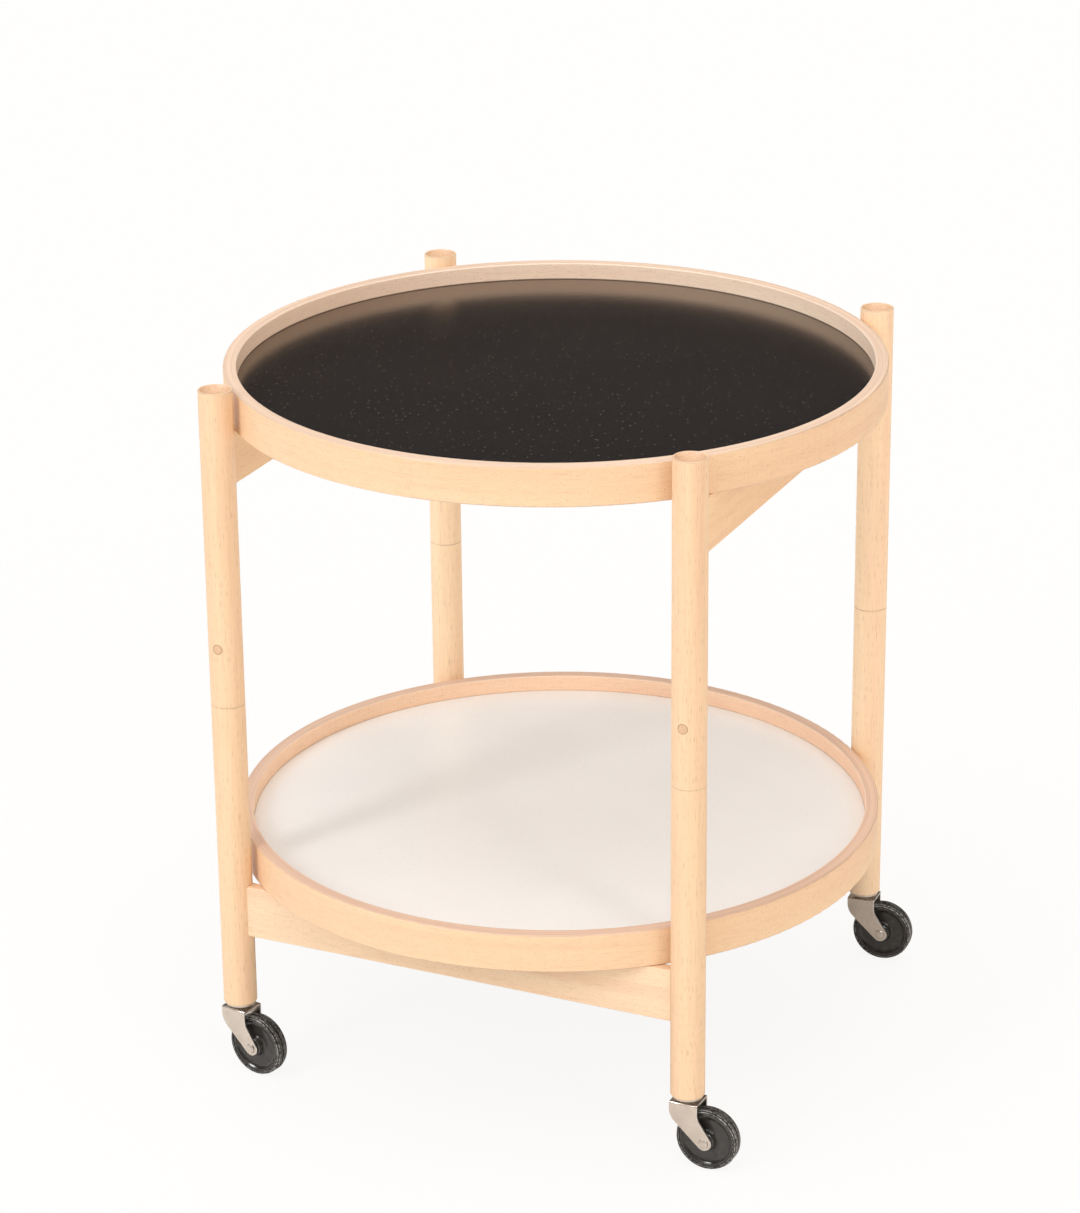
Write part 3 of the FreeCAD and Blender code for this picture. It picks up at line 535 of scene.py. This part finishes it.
def beech(name, axis=None, tone=(1.0, 1.0, 1.0), shades=None):
    """Oiled beech: broad rosy streaks, fibres and dark flecks, all along the grain. The grain runs along one axis,
    or round a bent rim. Flecks are long on the legs, where the boards are cut along the rays. Shades adds what only
    one kind of piece shows."""
    bent = axis is None
    upright = axis == "z"
    material, tree, shader = new_finish(name, Specular_IOR_Level=0.35)
    grain = bent_grain(tree) if bent else straight_grain(tree, axis)

    def noise(along, across, detail, roughness):
        cells = stretched(tree, grain, along, across, bent)
        sockets = {**cells, "Scale": 1.0, "Detail": detail, "Roughness": roughness}
        return add_node(tree, "ShaderNodeTexNoise", sockets, noise_dimensions="4D").outputs[0]

    broad = noise(2.2, 60, 2.0, 0.5)
    rings = noise(6.0, 330, 3.0, 0.6)
    fibres = noise(30 if upright else 70, 1000, 1.5, 0.5)
    cells = stretched(tree, grain, 110 if upright else 400, 1250, bent)
    flecks = add_node(tree, "ShaderNodeTexVoronoi", {**cells, "Scale": 1.0}, voronoi_dimensions="4D")
    chance = add_node(tree, "ShaderNodeSeparateColor", {0: flecks.outputs["Color"]}).outputs[0]
    dash = product(tree, ramp(tree, flecks.outputs["Distance"], 0.48, 0.26), ramp(tree, chance, 0.35, 0.95))
    light, rose, dark = (
        tuple(colour * part for colour, part in zip(shade, tone))
        for shade in (BEECH_LIGHT, BEECH_ROSE, BEECH_DARK)
    )
    body = mixed(tree, ramp(tree, broad, 0.35, 0.75), light, rose)
    body = mixed(tree, product(tree, ramp(tree, rings, 0.45, 0.75), 0.35), body, rose)
    body = mixed(tree, product(tree, ramp(tree, fibres, 0.5, 0.75), 0.3), body, dark)
    body = mixed(tree, product(tree, dash, 0.64), body, dark)
    if shades:
        body = shades(tree, body, noise)
    tree.links.new(body, shader.inputs["Base Color"])
    tree.links.new(graded(tree, fibres, 0.2, 0.36), shader.inputs["Roughness"])
    relief = arithmetic(tree, "SUBTRACT", fibres, dash)
    bump(tree, shader, relief, 0.25, 0.15 * MM)
    return material


def laminate(name, base, shade, roughness, speck, coat):
    """Pressed laminate: an even colour with a faint cloud, a fine pebble in the relief, and specks of dust. A warm
    coat over it doubles the gloss at a low angle."""
    material, tree, shader = new_finish(
        name, IOR=1.5, Coat_Weight=coat, Coat_Roughness=roughness, Coat_IOR=1.5, Coat_Tint=(1.0, 0.83, 0.69, 1)
    )
    place = object_place(tree)
    cloud = noise_at(tree, place, 9.0, 3.0)
    colour = mixed(tree, ramp(tree, cloud, 0.3, 0.7), base, shade)
    dust = add_node(tree, "ShaderNodeTexVoronoi", {"Vector": place, "Scale": 110.0}, voronoi_dimensions="2D")
    chance = add_node(tree, "ShaderNodeSeparateColor", {0: dust.outputs["Color"]}).outputs[1]
    spot = product(tree, ramp(tree, dust.outputs["Distance"], 0.066, 0.046), ramp(tree, chance, 0.3, 1.0))
    colour = mixed(tree, spot, colour, speck)
    tree.links.new(colour, shader.inputs["Base Color"])
    smear = noise_at(tree, place, 6.0, 1.0)
    tree.links.new(graded(tree, smear, 0.05, roughness), shader.inputs["Roughness"])
    pebble = noise_at(tree, place, 900.0, 1.0)
    bump(tree, shader, pebble, 0.04, 0.04 * MM)
    return material


def wear_and_painted_light_of(tree):
    """How much rubbing, dust and painted light a point carries, as kept on the mesh."""
    return add_node(tree, "ShaderNodeAttribute", attribute_name="wear_and_painted_light").outputs["Fac"]


def plated_steel(name, edge, roughness):
    """Satin plating: faint clouds in colour and gloss, with edges of another colour. That colour carries painted
    light: bright on the fork, partly bare steel and partly painted highlight; dark round the edge of the rivet's
    head, painted shade.
    """
    material, tree, shader = new_finish(name, Metallic=1.0)
    place = object_place(tree)
    cloud = noise_at(tree, place, 90.0, 4.0)
    colour = mixed(tree, ramp(tree, cloud, 0.3, 0.75), (0.70, 0.625, 0.55), (0.64, 0.565, 0.49))
    # The edge colour carries painted light: on the fork partly painted highlight, round the rivet's head painted
    # shade.
    colour = mixed(tree, wear_and_painted_light_of(tree), colour, edge)
    tree.links.new(colour, shader.inputs["Base Color"])
    fine = noise_at(tree, place, 2500.0, 2.0)
    tree.links.new(graded(tree, cloud, 0.15, roughness), shader.inputs["Roughness"])
    bump(tree, shader, fine, 0.15, 0.05 * MM)
    return material


def moulded_black(name, base, shade, roughness):
    """Black moulded plastic or rubber: brown-black, with handling marks in the gloss, and pale grey marks as the
    mesh gives them: floor dust on the tread, and partly painted highlight along the tyre's edges.
    """
    material, tree, shader = new_finish(name, IOR=1.55)
    place = object_place(tree)
    cloud = noise_at(tree, place, 160.0, 5.0)
    colour = mixed(tree, ramp(tree, cloud, 0.35, 0.8), base, shade)
    scuff = noise_at(tree, place, 420.0, 4.0)
    # Pale grey marks: floor dust, and along the tyre's edges partly painted highlight.
    dust = product(tree, ramp(tree, scuff, 0.4, 0.58), wear_and_painted_light_of(tree), 0.9)
    colour = mixed(tree, dust, colour, (0.60, 0.58, 0.55))
    tree.links.new(colour, shader.inputs["Base Color"])
    dull = arithmetic(tree, "ADD", graded(tree, cloud, 0.1, roughness), product(tree, wear_and_painted_light_of(tree), 0.35))
    tree.links.new(dull, shader.inputs["Roughness"])
    grit = noise_at(tree, place, 1800.0, 2.0)
    bump(tree, shader, grit, 0.1, 0.1 * MM)
    return material


def fibreboard(name):
    """Pressed fibreboard inside a panel."""
    material, tree, shader = new_finish(name, Roughness=0.8)
    place = object_place(tree)
    fibre = noise_at(tree, place, 700.0, 4.0)
    colour = mixed(tree, fibre, (0.36, 0.23, 0.13), (0.52, 0.36, 0.22))
    tree.links.new(colour, shader.inputs["Base Color"])
    bump(tree, shader, fibre, 0.3, 0.2 * MM)
    return material


def paint(material, *nodes):
    """Give one finish to CAD nodes that keep their shape."""
    for name in nodes:
        slots = frame["nodes"][name].data.materials
        slots.clear()
        slots.append(material)


def dress_table():
    """All the finishes, and the casters' own pieces."""
    legs = {
        # Lit and shaded copies of one beech: the front legs' darker tone is painted shade, and the rear legs'
        # lighter, paler tone is painted light.
        "front": beech("beech_front_legs_painted_shade", "z", (0.965, 0.95, 0.945), leg_shades),
        "rear": beech("beech_rear_legs_painted_light", "z", (1.07, 1.115, 1.165), leg_shades),
    }
    across = beech("beech_rails_across", "x", (1.0, 1.03, 1.09))
    deep = beech("beech_rails_deep", "y", (1.0, 0.96, 0.89))
    # The rims' inside tints are painted light, and their last numbers set how dark the painted shade at the panel
    # is.
    upper_shades = rim_shades((1.13, 1.27, 1.55), (1.03, 1.0, 0.96), UPPER_PANEL, 0.85)
    lower_shades = rim_shades((1.12, 1.12, 1.24), (0.95, 0.86, 0.82), LOWER_PANEL, 0.25)
    # The rims' slightly darker, more orange tones are partly painted shade, for the weaker light on their
    # right-hand side.
    upper_rim = beech("beech_upper_rim", tone=(0.97, 0.94, 0.93), shades=upper_shades)
    lower_rim = beech("beech_lower_rim", tone=(0.97, 0.95, 0.945), shades=lower_shades)
    pegs = beech("beech_pegs", "y", (0.82, 0.75, 0.72), peg_shades)
    # The fork's bright edge colour is partly bare steel and partly painted highlight.
    steel = plated_steel("plated_steel", (0.96, 0.93, 0.89), 0.22)
    # The rivet's dark edge colour is painted shade round its head.
    riveted = plated_steel("rivet_steel", (0.26, 0.22, 0.19), 0.42)
    black = laminate(
        "black_laminate",
        base=(0.0072, 0.0072, 0.0078),
        shade=(0.0100, 0.0098, 0.0104),
        roughness=0.205,
        speck=(0.31, 0.30, 0.29),
        coat=1.0,
    )
    white = laminate(
        "white_laminate",
        base=(0.91, 0.895, 0.88),
        shade=(0.89, 0.875, 0.86),
        roughness=0.36,
        speck=(0.72, 0.69, 0.65),
        coat=0.0,
    )
    board = fibreboard("panel_board")
    wheel = moulded_black("wheel_black", (0.029, 0.0264, 0.0242), (0.050, 0.0448, 0.0406), 0.15)
    tyre = moulded_black("tyre_black", (0.018, 0.0165, 0.0155), (0.030, 0.027, 0.025), 0.2)
    paint(across, "front_lower_rail", "rear_lower_rail")
    paint(deep, "left_upper_rail", "right_upper_rail")
    paint(upper_rim, "upper_tray_rim")
    paint(lower_rim, "lower_tray_rim")
    paint(board, "upper_tray_core", "lower_tray_core")
    paint(black, "upper_tray_black_laminate", "lower_tray_black_laminate")
    paint(white, "upper_tray_white_laminate", "lower_tray_white_laminate")
    for corner in CORNERS:
        leg = legs[corner.split("_")[0]]
        paint(leg, f"upper_leg_{corner}", f"lower_leg_{corner}", f"pivot_dowel_{corner}")
        paint(pegs, f"peg_{corner}")
        paint(steel, f"caster_sleeve_{corner}", f"caster_stem_{corner}", f"caster_washer_{corner}")
        caster(corner, steel, riveted, wheel, tyre)


def set_camera():
    """The photograph's camera: aim plus distance along the line of sight, then a small roll."""
    azimuth = math.radians(CAMERA_AZIMUTH)
    elevation = math.radians(CAMERA_ELEVATION)
    back = Vector((
        math.sin(azimuth) * math.cos(elevation),
        -math.cos(azimuth) * math.cos(elevation),
        math.sin(elevation),
    ))
    right = Vector((0, 0, 1)).cross(back).normalized()
    up = back.cross(right)
    pose = Matrix((right, up, back)).transposed() @ Matrix.Rotation(math.radians(CAMERA_ROLL), 3, "Z")
    lens = bpy.data.cameras.new("photograph")
    lens.sensor_fit = "AUTO"
    lens.sensor_width = SENSOR_MM
    lens.lens = FOCAL_PIXELS / max(PHOTO_SIZE) * SENSOR_MM
    lens.clip_end = 50
    camera = bpy.data.objects.new("photograph", lens)
    camera.matrix_world = Matrix.Translation(Vector(CAMERA_AIM) + back * CAMERA_DISTANCE) @ pose.to_4x4()
    bpy.context.scene.collection.objects.link(camera)
    bpy.context.scene.camera = camera


def softbox(name, place, size, power, colour=(1, 1, 1), glint=False):
    """A lamp of (width, height) that faces the middle of the table. A glint is seen in reflections only, and the
    other lamps are left out of them, so that the panels don't mirror a lamp from behind the table."""
    lamp = bpy.data.lights.new(name, "AREA")
    lamp.shape = "RECTANGLE"
    lamp.size, lamp.size_y = size
    lamp.energy = power
    lamp.color = colour
    box = bpy.data.objects.new(name, lamp)
    box.location = place
    box.rotation_euler = (LIT_POINT - Vector(place)).to_track_quat("-Z", "Y").to_euler()
    box.visible_diffuse = not glint
    box.visible_glossy = glint
    bpy.context.scene.collection.objects.link(box)


def set_surround():
    """White all round. Glossy surfaces see a dark band round the room, as dark curtains beside the set would give,
    and the light from the right is warmer."""
    scene = bpy.context.scene
    scene.view_settings.view_transform = "Standard"
    world = bpy.data.worlds.new("studio")
    scene.world = world
    world.use_nodes = True
    tree = world.node_tree
    tree.nodes.clear()
    path = add_node(tree, "ShaderNodeLightPath").outputs
    direction = add_node(tree, "ShaderNodeTexCoord").outputs["Generated"]
    height = add_node(tree, "ShaderNodeSeparateXYZ", {0: direction}).outputs[2]
    gloom = product(tree, ramp(tree, height, 0.05, 0.18), ramp(tree, height, 0.85, 0.6), path["Is Glossy Ray"])
    warm_side = (0.94, 0.34, 0)
    aside = add_node(tree, "ShaderNodeVectorMath", {0: direction, 1: warm_side}, operation="DOT_PRODUCT")
    warmth = ramp(tree, aside.outputs["Value"], 0.1, 0.9)
    room = mixed(tree, warmth, (0.84, 0.835, 0.83), (0.84, 0.71, 0.58))
    room = mixed(tree, gloom, room, (0.05, 0.049, 0.052))
    colour = mixed(tree, path["Is Camera Ray"], room, STUDIO_WHITE)
    surround = add_node(tree, "ShaderNodeBackground", {"Color": colour, "Strength": 1.0})
    add_node(tree, "ShaderNodeOutputWorld", {0: surround.outputs[0]})


def set_lamps():
    """Two softboxes in front, one overhead, and two glints for the steel and the wheels."""
    softbox("left_softbox", (-4.5, -10.2, 6.9), (2.3, 5.4), 425)
    softbox("right_softbox", (9.9, -6.1, 6.5), (2.3, 5.4), 205, (1.0, 0.95, 0.90))
    softbox("top_softbox", (0, -1.3, 6.0), (4.4, 4.4), 82)
    softbox("left_glint", (-2.4, -2.25, 5.7), (2.2, 2.4), 380, glint=True)
    softbox("right_glint", (3.8, -0.7, 5.85), (2.2, 3.0), 440, glint=True)


def set_floor():
    """White paper. The camera sees it mostly as the white of the surround, and away from the table as nothing else,
    so that no edge shows."""
    size = FLOOR_HALF_SIZE
    floor_mesh = bpy.data.meshes.new("floor")
    corners = [(-size, -size, 0), (size, -size, 0), (size, size, 0), (-size, size, 0)]
    floor_mesh.from_pydata(corners, [], [(0, 1, 2, 3)])
    floor = bpy.data.objects.new("floor", floor_mesh)
    bpy.context.scene.collection.objects.link(floor)
    material, tree, shader = new_finish("floor_paper", Roughness=0.9, Base_Color=(0.88, 0.865, 0.85, 1))
    glow = add_node(tree, "ShaderNodeEmission", {"Color": (*STUDIO_WHITE, 1), "Strength": 1.0})
    view = add_node(tree, "ShaderNodeLightPath").outputs["Is Camera Ray"]
    away = add_node(tree, "ShaderNodeVectorMath", {0: object_place(tree)}, operation="LENGTH").outputs["Value"]
    reach = {"Value": away, "From Min": 0.5, "From Max": 1.5, "To Min": 0.90, "To Max": 1.0}
    plain = add_node(tree, "ShaderNodeMapRange", reach).outputs[0]
    share = product(tree, view, plain)
    blend = add_node(tree, "ShaderNodeMixShader", {0: share, 1: shader.outputs[0], 2: glow.outputs[0]})
    tree.links.new(blend.outputs[0], tree.nodes["Material Output"].inputs["Surface"])
    floor_mesh.materials.append(material)


dress_table()
set_camera()
set_surround()
set_lamps()
set_floor()
